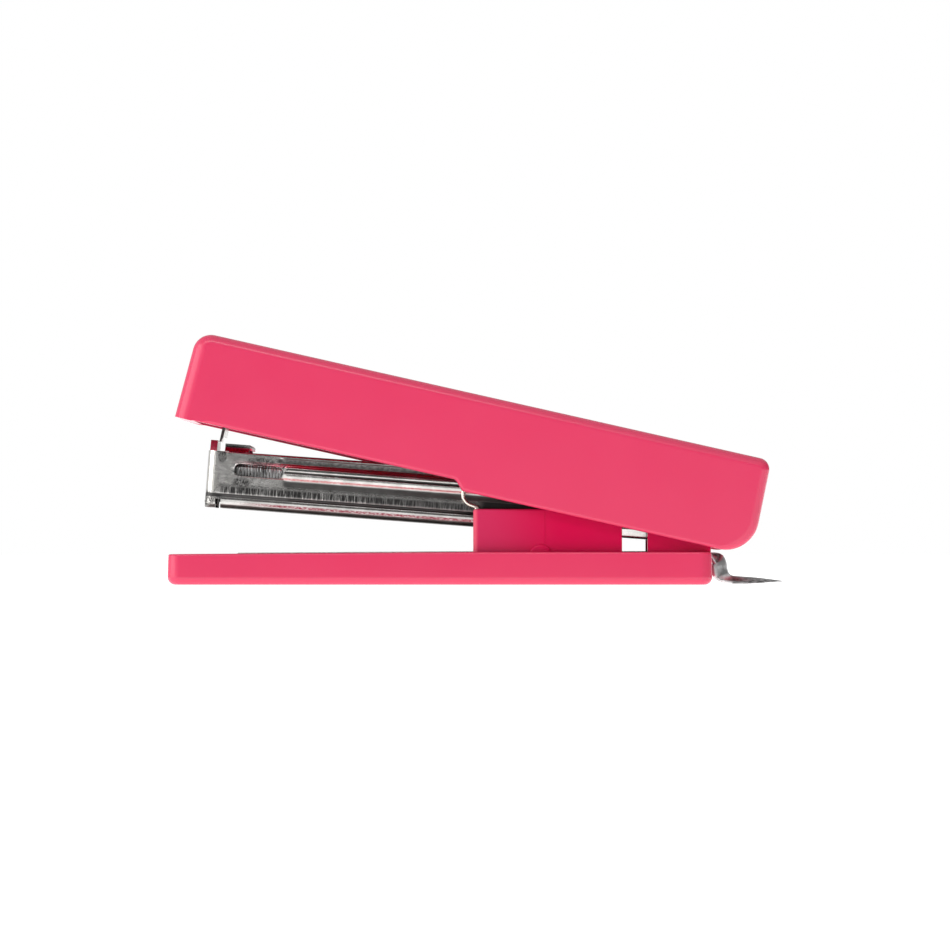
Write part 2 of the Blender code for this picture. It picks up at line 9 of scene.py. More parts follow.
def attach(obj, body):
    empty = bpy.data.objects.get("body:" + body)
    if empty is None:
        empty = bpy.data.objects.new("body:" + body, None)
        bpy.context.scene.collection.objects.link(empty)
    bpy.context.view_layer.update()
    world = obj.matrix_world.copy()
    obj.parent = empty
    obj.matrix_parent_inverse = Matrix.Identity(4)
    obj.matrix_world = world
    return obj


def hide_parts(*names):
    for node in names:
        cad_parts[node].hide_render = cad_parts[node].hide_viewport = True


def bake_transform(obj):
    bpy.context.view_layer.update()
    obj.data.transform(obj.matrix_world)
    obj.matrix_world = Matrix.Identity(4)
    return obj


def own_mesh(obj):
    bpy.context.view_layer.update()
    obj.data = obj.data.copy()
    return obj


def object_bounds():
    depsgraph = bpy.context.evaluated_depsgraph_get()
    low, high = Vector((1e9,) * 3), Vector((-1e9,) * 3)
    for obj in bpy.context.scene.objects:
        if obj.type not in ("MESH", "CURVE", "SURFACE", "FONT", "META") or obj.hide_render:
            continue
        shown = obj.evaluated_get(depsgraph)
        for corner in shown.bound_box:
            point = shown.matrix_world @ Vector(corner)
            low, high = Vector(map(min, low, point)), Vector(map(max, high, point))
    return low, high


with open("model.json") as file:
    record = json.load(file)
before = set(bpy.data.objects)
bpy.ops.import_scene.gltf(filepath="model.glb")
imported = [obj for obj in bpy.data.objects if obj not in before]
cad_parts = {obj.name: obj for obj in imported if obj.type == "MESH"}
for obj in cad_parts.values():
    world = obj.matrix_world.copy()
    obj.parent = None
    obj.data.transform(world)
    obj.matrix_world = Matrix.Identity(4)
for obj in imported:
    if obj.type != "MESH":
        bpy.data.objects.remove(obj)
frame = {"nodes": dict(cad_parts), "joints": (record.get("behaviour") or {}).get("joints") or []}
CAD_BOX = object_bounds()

# Lengths below are in millimetres. The base is drawn about its own zero, and the magazine and
# the handle are drawn level about the pivot pin: make_object() puts each into the shared frame.
MM = 0.001
JOINTS = {joint["name"]: joint for joint in frame["joints"]}
PIN = Vector(JOINTS["handle_hinge"]["pos_m"])
SLIDE = Vector(JOINTS["pusher_slide"]["axis"])
TRAY_FRONT = -50.6
TRAY_REAR = 39.05
BASE_ORIGIN = Vector((CAD_BOX[0].x - TRAY_FRONT * MM, 0, 0))
MAGAZINE_TILT = math.atan2(-SLIDE.z, SLIDE.x)
HANDLE_TILT = math.radians(12.7)
PIN_X = 41.25
PIN_Z = 11.27
EAR_RADIUS = 3.0
PIN_HOLE = 1.5
RIVET_HOLE = 1.1
BLADE_HALF = 4.3
MERGE_GAP = 0.002
SMOOTH_ANGLE = 40
EDGE_SEGMENTS = 2

COVER_HALF = 11.5
COVER_INNER_HALF = 9.9
COVER_FRONT_LOW = -92.1
COVER_FRONT_HIGH = -91.5
COVER_TOP = 10.6
COVER_LIP = -3.9
COVER_SKIRT = -5.5
COVER_REAR = 5.5
COVER_STEP = (-44.7, -43.2)
FRONT_WALL_END = -88.0
CHANNEL_FRONT = -86.05
CHANNEL_BOTTOM = -4.74
CHANNEL_TOP_FRONT = 4.66
CHANNEL_TOP_REAR = 4.95
CHANNEL_HALF = 5.5
CHANNEL_INNER_HALF = 4.8
CHANNEL_REAR = -4.0
CHANNEL_RIM = 5.0
SQUEEZED_ABOVE = 3.4
STRIP_FRONT = CHANNEL_FRONT + 2.6
CROWN_TOP = 2.78
LEG_LENGTH = 5.0
SPRING_Z = 3.1
SADDLE_HALF = 9.4
SADDLE_INNER_HALF = 8.1
SADDLE_FRONT = -0.3
SADDLE_REAR = 38.85
SADDLE_TOP = 12.5
RIM_LEVEL_FROM = -0.5
RIM_FRONT = 5.05
RIM_REAR = 5.41
RETURN_LEG_Y = -7.61
RETURN_LAY = 0.63
RETURN_WIRE = 0.36
RETURN_COIL = 1.95
REMOVER_RIVET = 31.0
LIFT_RIVET = 18.5
ANVIL_RIVETS = ((-46.75, -5.6), (-46.75, 5.6))

FRAMES = {
    "base": Matrix.Translation(BASE_ORIGIN),
    "magazine": Matrix.Translation(PIN) @ Matrix.Rotation(MAGAZINE_TILT, 4, "Y"),
    "handle": Matrix.Translation(PIN) @ Matrix.Rotation(HANDLE_TILT, 4, "Y"),
}


# ---- outlines and solids

def arc(x, z, radius, start, end, steps):
    """Points on an arc, with its angles in degrees."""
    points = []
    for step in range(steps + 1):
        angle = math.radians(start + (end - start) * step / steps)
        points.append((x + radius * math.cos(angle), z + radius * math.sin(angle)))
    return points


def share_past(value, start, length):
    """0 up to start, 1 from start + length on, and even in between."""
    return min(1.0, max(0.0, (value - start) / length))


def quarter_round(radius, steps):
    """Pairs of distances that go from 0 and radius to radius and 0 round an edge."""
    for step in range(steps, -1, -1):
        angle = math.radians(90 * step / steps)
        yield radius * (1 - math.sin(angle)), radius * (1 - math.cos(angle))


def circle(x, z, radius, sides=32):
    return arc(x, z, radius, 0, 360 - 360 / sides, sides - 1)


def filleted(corners, steps=6):
    """An outline from (x, z, radius) corners, rounded where the radius isn't 0."""
    points = []
    for index, (x, z, radius) in enumerate(corners):
        if radius == 0:
            points.append((x, z))
            continue
        towards = []
        for other in (corners[index - 1], corners[(index + 1) % len(corners)]):
            length = math.hypot(other[0] - x, other[1] - z)
            towards.append(((other[0] - x) / length, (other[1] - z) / length))
        (ax, az), (bx, bz) = towards
        half = math.acos(max(-1.0, min(1.0, ax * bx + az * bz))) / 2
        reach = radius / math.tan(half)
        middle = math.hypot(ax + bx, az + bz)
        centre_x = x + (ax + bx) / middle * radius / math.sin(half)
        centre_z = z + (az + bz) / middle * radius / math.sin(half)
        first = math.atan2(z + az * reach - centre_z, x + ax * reach - centre_x)
        last = math.atan2(z + bz * reach - centre_z, x + bx * reach - centre_x)
        turn = (last - first + math.pi) % (2 * math.pi) - math.pi
        for step in range(steps + 1):
            angle = first + turn * step / steps
            points.append((centre_x + radius * math.cos(angle), centre_z + radius * math.sin(angle)))
    return points


def loft(rings, capped=True):
    """A solid through rings of equally many points."""
    shape = bmesh.new()
    made = [[shape.verts.new(point) for point in ring] for ring in rings]
    for lower, upper in zip(made, made[1:]):
        for index in range(len(lower)):
            after = (index + 1) % len(lower)
            shape.faces.new((lower[index], lower[after], upper[after], upper[index]))
    if capped:
        shape.faces.new(made[0])
        shape.faces.new(made[-1])
    return shape


def prism(outline, low, high, axis="Y"):
    put = {
        "X": lambda a, b, c: (c, a, b),
        "Y": lambda a, b, c: (a, c, b),
        "Z": lambda a, b, c: (a, b, c),
    }[axis]
    return loft([[put(a, b, depth) for a, b in outline] for depth in (low, high)])


def block(x, y, z):
    return prism([(x[0], z[0]), (x[1], z[0]), (x[1], z[1]), (x[0], z[1])], y[0], y[1])


def smooth_path(points, per_span=8):
    """A Catmull-Rom curve through given points."""
    points = [Vector(point) for point in points]
    ends = [points[0] * 2 - points[1]] + points + [points[-1] * 2 - points[-2]]
    path = []
    for index in range(1, len(ends) - 2):
        before, start, end, after = ends[index - 1:index + 3]
        for step in range(per_span):
            t = step / per_span
            squared = (2 * before - 5 * start + 4 * end - after) * t * t
            cubed = (3 * start - before - 3 * end + after) * t ** 3
            path.append(0.5 * (2 * start + (end - before) * t + squared + cubed))
    path.append(points[-1])
    return path


def swept(path, radius, sides=12, squash=1.0, first_side=(0, 1, 0)):
    """Wire along a path: a round section, or an oval one where squash isn't 1."""
    points = [Vector(point) for point in path]
    side = Vector(first_side)
    rings = []
    for index, point in enumerate(points):
        ahead = points[min(index + 1, len(points) - 1)] - points[max(index - 1, 0)]
        ahead.normalize()
        side = side - ahead * side.dot(ahead)
        side.normalize()
        other = ahead.cross(side)
        ring = []
        for step in range(sides):
            angle = 2 * math.pi * step / sides
            ring.append(point + (side * math.cos(angle) + other * math.sin(angle) * squash) * radius)
        rings.append(ring)
    return loft(rings)


def together(shapes):
    total = bmesh.new()
    for shape in shapes:
        carrier = bpy.data.meshes.new("carrier")
        shape.to_mesh(carrier)
        shape.free()
        total.from_mesh(carrier)
        bpy.data.meshes.remove(carrier)
    return total


# ---- pieces

def add_object(name, data):
    made = bpy.data.objects.new(name, data)
    bpy.context.scene.collection.objects.link(made)
    return made


def make_object(name, shape, drawn="base"):
    """An object from a shape drawn in one of FRAMES, with its mesh in the shared frame."""
    bmesh.ops.recalc_face_normals(shape, faces=shape.faces)
    bmesh.ops.scale(shape, vec=(MM, MM, MM), verts=shape.verts)
    mesh = bpy.data.meshes.new(name)
    shape.to_mesh(mesh)
    shape.free()
    mesh.transform(FRAMES[drawn])
    return add_object(name, mesh)


def apply_modifiers(piece):
    bpy.context.view_layer.update()
    evaluated = piece.evaluated_get(bpy.context.evaluated_depsgraph_get())
    mesh = bpy.data.meshes.new_from_object(evaluated)
    piece.modifiers.clear()
    old = piece.data
    piece.data = mesh
    bpy.data.meshes.remove(old)


def combine(piece, shapes, operation, drawn):
    """Cut shapes out of a piece, or join them to it, and keep only the result."""
    helpers = []
    for shape in shapes:
        helper = make_object("helper", shape, drawn)
        modifier = piece.modifiers.new("combine", "BOOLEAN")
        modifier.operation = operation
        modifier.solver = "EXACT"
        modifier.object = helper
        helpers.append(helper)
    apply_modifiers(piece)
    for helper in helpers:
        mesh = helper.data
        bpy.data.objects.remove(helper, do_unlink=True)
        bpy.data.meshes.remove(mesh)


def cut(piece, shapes, drawn="base"):
    combine(piece, shapes, "DIFFERENCE", drawn)


def join(piece, shapes, drawn="base"):
    for shape in shapes:
        combine(piece, [shape], "UNION", drawn)


def soften(piece, width, angle):
    """Round the edges that stay sharp, and shade the rest smoothly with flat faces kept flat."""
    piece.data.shade_smooth()
    if width:
        bevel = piece.modifiers.new("edge_radius", "BEVEL")
        bevel.width = width * MM
        bevel.segments = EDGE_SEGMENTS
        bevel.limit_method = "ANGLE"
        bevel.angle_limit = math.radians(angle)
        bevel.miter_outer = "MITER_ARC"
        normals = piece.modifiers.new("flat_faces", "WEIGHTED_NORMAL")
        normals.weight = 60
    else:
        piece.data.set_sharp_from_angle(angle=math.radians(angle))


def finish_piece(piece, body, nodes, material, edge, angle=SMOOTH_ANGLE):
    piece.data.materials.clear()
    piece.data.materials.append(material)
    soften(piece, edge, angle)
    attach(piece, body)
    if nodes:
        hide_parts(*nodes)
    return piece


def dress_node(name, material, edge):
    """A CAD node whose shape is right: it keeps its mesh, and gets edge radii and a material."""
    node = frame["nodes"][name]
    node.data.materials.clear()
    node.data.materials.append(material)
    weld = node.modifiers.new("weld", "WELD")
    weld.merge_threshold = MERGE_GAP * MM
    soften(node, edge, 30)


# ---- materials

def set_inputs(node, **values):
    """Constants on a node's sockets, named with _ for each space."""
    for key, value in values.items():
        node.inputs[key.replace("_", " ")].default_value = value


class Look:
    """One material's node tree, with coordinates in millimetres."""

    def __init__(self, name, drawn="base"):
        self.material = bpy.data.materials.new(name)
        self.material.use_nodes = True
        self.tree = self.material.node_tree
        self.shader = self.tree.nodes["Principled BSDF"]
        where = self.node("TexCoord")
        back = FRAMES[drawn].inverted()
        level = self.node("Mapping", Scale=(1 / MM, 1 / MM, 1 / MM), Rotation=back.to_euler(),
                          Location=back.translation / MM)
        self.link(where.outputs["Object"], level.inputs["Vector"])
        self.place = level.outputs["Vector"]

    def node(self, kind, **values):
        node = self.tree.nodes.new("ShaderNode" + kind)
        set_inputs(node, **values)
        return node

    def set(self, **values):
        set_inputs(self.shader, **values)

    def link(self, value, socket):
        """A link from an output, or a constant on the socket itself."""
        if isinstance(value, bpy.types.NodeSocket):
            self.tree.links.new(value, socket)
        else:
            socket.default_value = value

    def noise(self, scale, detail, stretch=(1, 1, 1), roughness=0.5):
        stretched = self.node("Mapping", Scale=stretch)
        self.link(self.place, stretched.inputs["Vector"])
        node = self.node("TexNoise", Scale=scale, Detail=detail, Roughness=roughness)
        self.link(stretched.outputs["Vector"], node.inputs["Vector"])
        return node.outputs["Fac"]

    def ranged(self, value, low, high, to_low, to_high, smooth=False):
        node = self.node("MapRange", From_Min=low, From_Max=high, To_Min=to_low, To_Max=to_high)
        node.interpolation_type = "SMOOTHSTEP" if smooth else "LINEAR"
        self.link(value, node.inputs["Value"])
        return node.outputs["Result"]

    def fade(self, value, start, end, to_start=0, to_end=1):
        return self.ranged(value, start, end, to_start, to_end, True)

    def maths(self, operation, *values):
        node = self.node("Math")
        node.operation = operation
        for socket, value in zip(node.inputs, values):
            self.link(value, socket)
        return node.outputs["Value"]

    def times(self, first, second):
        return self.maths("MULTIPLY", first, second)

    def largest(self, first, second):
        return self.maths("MAXIMUM", first, second)

    def mixed(self, factor, first, second):
        node = self.node("Mix")
        node.data_type = "RGBA"
        self.link(factor, node.inputs["Factor"])
        for name, colour in (("A", first), ("B", second)):
            self.link((*colour, 1.0) if isinstance(colour, tuple) else colour, node.inputs[name])
        return node.outputs["Result"]

    def axis(self, name):
        node = self.node("SeparateXYZ")
        self.link(self.place, node.inputs["Vector"])
        return node.outputs[name]

    def bump(self, height, strength, distance, onto=None):
        node = self.node("Bump", Strength=strength, Distance=distance * MM)
        self.link(height, node.inputs["Height"])
        if onto:
            self.link(onto, node.inputs["Normal"])
        return node.outputs["Normal"]

    def colour(self, output):
        self.link(output, self.shader.inputs["Base Color"])

    def colour_so_far(self):
        return self.shader.inputs["Base Color"].links[0].from_socket

    def roughness(self, output):
        self.link(output, self.shader.inputs["Roughness"])

    def normal(self, output):
        self.link(output, self.shader.inputs["Normal"])


NICKEL_BRIGHT = (0.66, 0.64, 0.61)
NICKEL_DULL = (0.52, 0.5, 0.48)


def moulded_plastic(look, colour, shade, specular=0.5):
    """Glossy ABS: faint flow marks in the colour, a soft moulded ripple and hairline scuffs."""
    look.set(IOR=1.5, Specular_IOR_Level=specular, Subsurface_Weight=0.06, Subsurface_Scale=0.0006)
    look.colour(look.mixed(look.fade(look.noise(0.05, 2), 0.3, 0.7), colour, shade))
    scuffs = look.fade(look.noise(3.0, 6, (0.12, 1.0, 1.6)), 0.62, 0.8, 0.0, 0.035)
    look.roughness(look.maths("ADD", look.ranged(look.noise(0.15, 2), 0.3, 0.7, 0.19, 0.235), scuffs))
    ripple = look.bump(look.noise(0.16, 1), 0.05, 0.05)
    look.normal(look.bump(look.noise(26.0, 2), 0.08, 0.004, ripple))
    return look


def plated_steel(look, bright, dull, rough_low, rough_high, grain=(1, 1, 1), grain_scale=4.0, strength=0.12):
    """Nickel-plated or plain steel: cloudy plating, drawn grain and handling marks."""
    look.set(Metallic=1.0)
    clouds = look.fade(look.noise(0.35, 5), 0.32, 0.68)
    look.colour(look.mixed(clouds, bright, dull))
    grain_noise = look.noise(grain_scale, 5, grain, 0.6)
    look.roughness(look.ranged(grain_noise, 0.3, 0.7, rough_low, rough_high))
    fine = look.bump(grain_noise, strength, 0.02)
    look.normal(look.bump(look.noise(0.6, 2), 0.1, 0.05, fine))
    return look


def band(look, value, low, high, soft):
    """1 between low and high, fading to 0 across either end."""
    rise = look.fade(value, low - soft, low + soft)
    fall = look.fade(value, high - soft, high + soft, 1, 0)
    return look.times(rise, fall)


def spot(look, along, height, centre, reach):
    """A soft round mark, broken up by noise."""
    dx = look.times(look.maths("SUBTRACT", along, centre[0]), 1 / reach[0])
    dz = look.times(look.maths("SUBTRACT", height, centre[1]), 1 / reach[1])
    distance = look.maths("ADD", look.times(dx, dx), look.times(dz, dz))
    broken = look.fade(look.noise(2.4, 6, (2.2, 1.0, 1.0), 0.8), 0.4, 0.58, 0.3, 1.0)
    return look.times(look.fade(distance, 0.35, 1.0, 1.0, 0), broken)


DARK_MARK_AND_SHADE = (0.035, 0.034, 0.034)
PAINTED_REFLECTION_LINES = (
    # heights, strength and colour of the painted reflections along the ribs: reddish lines where the steel
    # would mirror the pink cover and base
    (2.68, 3.28, 0.95, (0.95, 0.16, 0.24)),
    (0.6, 0.95, 0.7, (0.55, 0.1, 0.11)),
    (-4.02, -3.6, 1.0, (0.22, 0.03, 0.05)),
    (4.42, 4.8, 0.9, (0.7, 0.03, 0.1)),
)
GROOVE_SHADE_BEHIND_WINDOW = (
    # heights, softness and strength of the painted shade in the grooves behind the window
    (1.66, 2.03, 0.05, 0.95),
    (4.0, 4.32, 0.1, 0.85),
    (-0.6, 0.5, 0.2, 0.8),
)
LOWER_GROOVE_SHADE = (
    # the same for the painted shade in the grooves that run from the front end and along the channel's
    # underside
    (-2.94, -2.3, 0.06, 0.95),
    (-3.6, -2.94, 0.05, 0.25),
    (-6.0, -4.1, 0.15, 0.75),
)
DARK_SPOTS = (
    # centre and reach of the dark spots around the window and on the foot: the one where the upper recess
    # starts and the one on the foot are painted shade
    ((-77.2, 3.4), (3.0, 0.8)),
    ((-80.2, -0.4), (1.8, 1.3)),
    ((-83.6, 3.8), (0.9, 1.3)),
    ((-85.7, -3.5), (1.5, 1.9)),
)


def plating_with_painted_light(look, along, height, ahead):
    """Plating with a painted highlight on its rounded front corner, and thin reddish lines along the ribs
    that are painted reflections of the pink cover and base.
    """
    clouds = look.fade(look.noise(0.4, 5), 0.32, 0.68)
    plate = look.mixed(clouds, (0.66, 0.65, 0.63), (0.5, 0.49, 0.47))
    # painted highlight: lighter plating on the rounded front corner of the channel
    bend_highlight = look.fade(along, CHANNEL_FRONT + 1.2, CHANNEL_FRONT + 2.1, 0.9, 0)
    plate = look.mixed(bend_highlight, plate, (0.84, 0.82, 0.78))
    behind = look.fade(along, CHANNEL_FRONT + 3.0, CHANNEL_FRONT + 13.5)
    flecks = look.fade(look.noise(4.0, 4, (0.6, 1.0, 1.6), 0.7), 0.4, 0.56, 0.4, 1)
    flecks = look.times(flecks, look.times(ahead, behind))
    # painted reflections of the pink cover and base, broken into flecks
    for low, high, depth, tint in PAINTED_REFLECTION_LINES:
        line = band(look, height, low, high, 0.08)
        plate = look.mixed(look.times(line, look.times(flecks, depth)), plate, tint)
    return plate


def drawing_streaks(look, along, height):
    """Upright streaks along the lower wall, which run together towards the rear."""
    streak_noise = look.noise(1.0, 5, (5.5, 1.0, 0.3), 0.7)
    darkened = look.fade(along, -74.0, -52.0, 0.0, 0.82)
    streaks = look.largest(look.fade(streak_noise, 0.36, 0.54, 0.4, 1), darkened)
    ragged = look.times(band(look, height, -2.35, -0.95, 0.35), streaks)
    from_bend = look.fade(along, CHANNEL_FRONT + 1.8, CHANNEL_FRONT + 3.0)
    return look.times(ragged, from_bend)


def magazine_marks_and_shade(look, along, height, ahead, streaks):
    """All the dark marks and painted shade: streaks, painted shade in the grooves, the upper recess and
    under the skirt, and the dark spots.
    """
    # marks gathers the streaks together with the painted shade added below
    marks = streaks
    behind_window = look.fade(along, CHANNEL_FRONT + 11.8, CHANNEL_FRONT + 13.2)
    # painted shade in the grooves and under the channel's bottom edge
    for where, groove_shades in ((behind_window, GROOVE_SHADE_BEHIND_WINDOW), (ahead, LOWER_GROOVE_SHADE)):
        for low, high, soft, depth in groove_shades:
            groove_shade = look.times(band(look, height, low, high, soft), where)
            marks = look.largest(marks, look.times(groove_shade, depth))
    # painted shade in the upper recess, broken up by noise
    recess_starts = look.fade(along, CHANNEL_FRONT + 10.8, CHANNEL_FRONT + 12.0)
    recess = look.times(band(look, height, 3.35, 4.1, 0.1), recess_starts)
    recess_shade_noise = look.fade(look.noise(1.3, 6, (1.5, 1.0, 1.5), 0.8), 0.4, 0.6, 0.78, 0.95)
    marks = look.largest(marks, look.times(recess, recess_shade_noise))
    # painted shade on the wall under the cover's skirt
    under_skirt = look.times(look.fade(along, -42.5, -39.5), ahead)
    shade = look.times(band(look, height, -2.6, -0.45, 0.15), under_skirt)
    marks = look.largest(marks, shade)
    for centre, reach in DARK_SPOTS:
        marks = look.largest(marks, spot(look, along, height, centre, reach))
    return marks


def magazine_steel():
    """The magazine's plating: drawing streaks, painted shade in its grooves, its upper recess and under the
    cover's skirt, painted reflections and a painted highlight, and dark spots around the window.
    """
    look = Look("magazine_plate", "magazine")
    look.set(Metallic=1.0)
    height = look.axis("Z")
    along = look.axis("X")
    ahead = look.fade(along, -30.0, -20.0, 1, 0)
    plate = plating_with_painted_light(look, along, height, ahead)
    streaks = drawing_streaks(look, along, height)
    marks = magazine_marks_and_shade(look, along, height, ahead, streaks)
    # the dark marks and the painted shade share one dark colour
    look.colour(look.mixed(marks, plate, DARK_MARK_AND_SHADE))
    grain = look.noise(5.0, 5, (0.5, 1.0, 2.2), 0.6)
    polish = look.ranged(grain, 0.3, 0.7, 0.13, 0.23)
    look.roughness(look.maths("ADD", polish, look.times(marks, 0.2)))
    fine = look.bump(grain, 0.2, 0.02)
    pressed = look.bump(streaks, 0.5, 0.03, fine)
    look.normal(look.bump(look.noise(0.9, 3), 0.16, 0.05, pressed))
    return look.material


def bridge_steel():
    """The hold-down's plating: a dark top, with a painted reflection of the pink cover on its flanks."""
    look = plated_steel(Look("bridge_plate", "magazine"), (0.34, 0.34, 0.33), (0.12, 0.12, 0.12), 0.2, 0.36)
    darkened = look.colour_so_far()
    # painted reflection: the flanks tinted pink where the steel would mirror the cover
    flank = look.times(band(look, look.axis("Z"), 4.6, 5.42, 0.1), 0.9)
    look.colour(look.mixed(flank, darkened, (0.62, 0.012, 0.075)))
    return look.material


def blade_steel():
    """The driver's plating, dark along its sheared near and far edges."""
    look = plated_steel(Look("blade_plate", "handle"), NICKEL_BRIGHT, NICKEL_DULL, 0.16, 0.3)
    plating = look.colour_so_far()
    from_middle = look.maths("ABSOLUTE", look.axis("Y"))
    sheared = look.fade(from_middle, BLADE_HALF - 0.2, BLADE_HALF - 0.04, 0, 0.9)
    look.colour(look.mixed(sheared, plating, (0.05, 0.04, 0.042)))
    return look.material


def claw_steel():
    """The claw's plating: bright on its neck, ground and dull along its blade."""
    look = Look("worn_nickel")
    plated_steel(look, (0.84, 0.85, 0.85), (0.4, 0.41, 0.41), 0.26, 0.44, (0.4, 2, 1.5), 3.0, 0.5)
    neck = look.colour_so_far()
    ground = look.fade(look.noise(2.5, 6, (0.5, 1.0, 2.0), 0.7), 0.4, 0.6)
    blade = look.mixed(ground, (0.36, 0.36, 0.36), (0.1, 0.1, 0.1))
    look.colour(look.mixed(look.fade(look.axis("X"), 42.4, 43.0), neck, blade))
    return look.material


def saddle_plastic():
    """The saddle's pink with painted shade: darker and deeper than the tray's pink, more so towards its
    rear, with a painted highlight on its front corner.
    """
    look = moulded_plastic(Look("shaded_pink_abs"), (0.58, 0.028, 0.101), (0.56, 0.024, 0.095), 0.12)
    front = look.colour_so_far()
    along = look.axis("X")
    # painted shade: darker and more saturated towards the rear, under the cover's overhang
    body = look.mixed(look.fade(along, 0.0, 15.0), front, (0.58, 0.001, 0.06))
    # painted highlight: lighter pink on the rounded front corner
    edge = look.fade(along, SADDLE_FRONT + 0.25, SADDLE_FRONT + 0.95, 0.8, 0)
    look.colour(look.mixed(edge, body, (0.84, 0.11, 0.18)))
    return look.material


PINK = moulded_plastic(Look("pink_abs"), (0.715, 0.043, 0.121), (0.705, 0.042, 0.118)).material
SHADED_PINK = saddle_plastic()
MAGAZINE_PLATE = magazine_steel()
BRIDGE_PLATE = bridge_steel()
BLADE_PLATE = blade_steel()
NICKEL = plated_steel(Look("nickel_plate"), NICKEL_BRIGHT, NICKEL_DULL, 0.16, 0.3, (0.3, 1, 1)).material
CLAW = claw_steel()
STEEL = plated_steel(Look("bright_steel"), (0.72, 0.7, 0.67), (0.58, 0.56, 0.53), 0.2, 0.34).material
WIRE = plated_steel(Look("spring_wire"), (0.9, 0.86, 0.78), (0.74, 0.7, 0.62), 0.18, 0.3,
                    grain_scale=8.0).material
STAPLE_WIRE = plated_steel(Look("staple_wire", "magazine"), (0.6, 0.6, 0.6), (0.22, 0.22, 0.22),
                           0.22, 0.36, (2.0, 0.3, 0.2), 1.2).material
DARK_STEEL = plated_steel(Look("oiled_steel"), (0.26, 0.25, 0.24), (0.17, 0.165, 0.16), 0.28, 0.42).material


# ---- handle

def cover_outline():
    """The cover's side outline, from the front of its lip over the top and round the pivot."""
    rear = COVER_REAR
    top_rear = rear - 0.2
    step_front, step_rear = COVER_STEP
    points = filleted([(COVER_FRONT_LOW, COVER_LIP, 0), (COVER_FRONT_HIGH, COVER_TOP, 3.1),
                       (top_rear, COVER_TOP, 1.9), (rear, 0.0, 0)], 9)
    points += arc(0, 0, rear, 0, -90, 18)[1:]
    points += filleted([(0.0, -rear, 0), (step_rear, COVER_SKIRT, 0.6), (step_front, COVER_LIP, 1.0),
                        (COVER_FRONT_LOW, COVER_LIP, 0)], 7)[1:-1]
    return points + [(FRONT_WALL_END + 2.0, COVER_LIP), (FRONT_WALL_END - 0.6, COVER_LIP)]


def edge_radius(x, z):
    """The radius of the cover's long edges: wide on the front corners, narrow along the open
    bottom, and sharp where the bottom of the front wall ends."""
    front, top, bottom = 2.6, 1.6, 0.55
    if x < FRONT_WALL_END - 2.0 or (x < FRONT_WALL_END and z > 0):
        narrowing = share_past(z, 7.0, COVER_TOP - 7.0)
        return front - (front - top) * narrowing
    if x < FRONT_WALL_END:
        return 0.0
    if z > 0:
        return top
    if x > -0.5:
        angle = math.degrees(math.atan2(-z, x))
        return bottom + (top - bottom) * (1 - share_past(angle, 25, 65) ** 2)
    return bottom


def rounded_slab(outline, radii, half, steps=7):
    """A solid with this side outline and long edges rounded by radii that may vary."""
    count = len(outline)
    inward = []
    area = sum(outline[i - 1][0] * outline[i][1] - outline[i][0] * outline[i - 1][1] for i in range(count))
    turn = 1 if area > 0 else -1
    for index in range(count):
        before = Vector(outline[index - 1])
        here = Vector(outline[index])
        after = Vector(outline[(index + 1) % count])
        both = []
        rounded = []
        for start, end, at in ((before, here, index - 1), (here, after, index)):
            edge = (end - start).normalized()
            both.append(Vector((-edge.y, edge.x)) * turn)
            if radii[at % count] > 0 and radii[(at + 1) % count] > 0:
                rounded.append(both[-1])
        chosen = rounded or both
        total = sum(chosen, Vector((0, 0)))
        total.normalize()
        inward.append(total / max(0.5, total.dot(chosen[0])))
    turns = list(quarter_round(1.0, steps))
    rings = []
    for side, rounding in ((-1, turns), (1, turns[::-1])):
        for from_side, inset in rounding:
            ring = []
            for (x, z), way, radius in zip(outline, inward, radii):
                offset = way * radius * inset
                ring.append((x + offset.x, side * (half - radius * from_side), z + offset.y))
            rings.append(ring)
    slab = loft(rings)
    bmesh.ops.remove_doubles(slab, verts=slab.verts, dist=MERGE_GAP)
    return slab


def build_cover():
    """The shell, hollowed from below, with a lip inside its front wall and an open rear bottom."""
    outline = cover_outline()
    radii = [edge_radius(x, z) for x, z in outline]
    cover = make_object("handle_cover_shell", rounded_slab(outline, radii, COVER_HALF), "handle")
    ceiling = 9.0
    lip = -88.9
    rear = 3.65
    rear_wall_end = -1.9
    beyond = 9.0
    below = -14.0
    cavity = filleted([(lip, below, 0), (lip, -2.6, 0.4), (-90.1, -1.6, 0.5), (-89.6, ceiling, 1.4),
                       (rear, ceiling, 0.8), (rear, rear_wall_end, 0.0), (beyond, rear_wall_end, 0),
                       (beyond, below, 0)], 5)
    cut(cover, [prism(cavity, -COVER_INNER_HALF, COVER_INNER_HALF)], "handle")
    finish_piece(cover, "handle", ["handle_cover"], PINK, 0.15, 50)


def build_driver():
    """The blade, with its flange folded back under the frame and its lower edge ground sharp."""
    gauge = 0.5
    front = CHANNEL_FRONT + 1.65
    back = front + gauge
    top = 7.1
    tip = -6.2
    flange_end = front + 9.75
    section = filleted([(front, tip, 0), (front + gauge / 2, tip, 0), (back, tip + 0.8, 0.2),
                        (back, top - gauge, 0.35), (flange_end, top - gauge, 0), (flange_end, top, 0),
                        (front, top, 0.85)], 6)
    blade = make_object("driver_blade_plate", prism(section, -BLADE_HALF, BLADE_HALF), "handle")
    holes = [prism(circle(front + x, 0.0, 1.05), 5.0, 9.0, "Z") for x in (3.45, 7.95)]
    cut(blade, holes, "handle")
    finish_piece(blade, "handle", ["driver_blade"], BLADE_PLATE, 0.07, 35)


